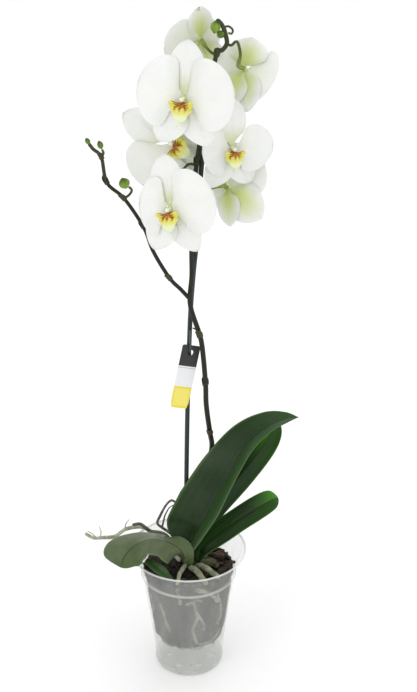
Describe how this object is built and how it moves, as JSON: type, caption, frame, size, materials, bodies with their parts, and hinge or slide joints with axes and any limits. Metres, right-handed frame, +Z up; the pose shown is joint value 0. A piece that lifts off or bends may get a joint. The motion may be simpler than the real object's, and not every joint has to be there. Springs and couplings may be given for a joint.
{
  "type": "potted orchid",
  "caption": "Potted moth orchid with white flowers on a staked spike, a budded side branch, strap leaves and aerial roots, in a frosted clear plastic pot with a plain plant label.",
  "frame": {"origin": "centre of the pot's flat bottom", "axes": "+Z up along the pot's axis, -Y towards the side that most flowers face, +X to the viewer's right from there"},
  "size_m": [0.2235, 0.1319, 0.6916],
  "materials": {
    "clear_plastic": "frosted, translucent",
    "bark_and_moss": "rough",
    "leaf": "satin",
    "green_stem": "satin",
    "root_skin": "matte",
    "petal": "soft satin",
    "lip": "soft satin",
    "stake_coat": "satin",
    "clip_plastic": "satin",
    "tag_card": "printed, smooth"
  },
  "bodies": {
    "root": {"aerial_root_back": "root_skin", "aerial_root_left": "root_skin", "aerial_root_loop": "root_skin", "bark_and_soil": "bark_and_moss", "crown": "leaf", "flower_1_dorsal_sepal": "petal", "flower_1_left_petal": "petal", "flower_1_left_sepal": "petal", "flower_1_lip": "lip", "flower_1_right_petal": "petal", "flower_1_right_sepal": "petal", "flower_2_dorsal_sepal": "petal", "flower_2_left_petal": "petal", "flower_2_left_sepal": "petal", "flower_2_lip": "lip", "flower_2_right_petal": "petal", "flower_2_right_sepal": "petal", "flower_3_dorsal_sepal": "petal", "flower_3_left_petal": "petal", "flower_3_left_sepal": "petal", "flower_3_lip": "lip", "flower_3_right_petal": "petal", "flower_3_right_sepal": "petal", "flower_4_dorsal_sepal": "petal", "flower_4_left_petal": "petal", "flower_4_left_sepal": "petal", "flower_4_lip": "lip", "flower_4_right_petal": "petal", "flower_4_right_sepal": "petal", "flower_5_dorsal_sepal": "petal", "flower_5_left_petal": "petal", "flower_5_left_sepal": "petal", "flower_5_lip": "lip", "flower_5_right_petal": "petal", "flower_5_right_sepal": "petal", "flower_6_dorsal_sepal": "petal", "flower_6_left_petal": "petal", "flower_6_left_sepal": "petal", "flower_6_lip": "lip", "flower_6_right_petal": "petal", "flower_6_right_sepal": "petal", "flower_7_dorsal_sepal": "petal", "flower_7_left_petal": "petal", "flower_7_left_sepal": "petal", "flower_7_lip": "lip", "flower_7_right_petal": "petal", "flower_7_right_sepal": "petal", "flower_spike": "green_stem", "leaf_back": "leaf", "leaf_large": "leaf", "leaf_left": "leaf", "leaf_right": "leaf", "leaf_small": "leaf", "plant_tag": "tag_card", "pot": "clear_plastic", "root_front_left": "root_skin", "root_front_right": "root_skin", "side_branch": "green_stem", "stake": "stake_coat", "stem_clip": "clip_plastic"}
  },
  "joints": []
}
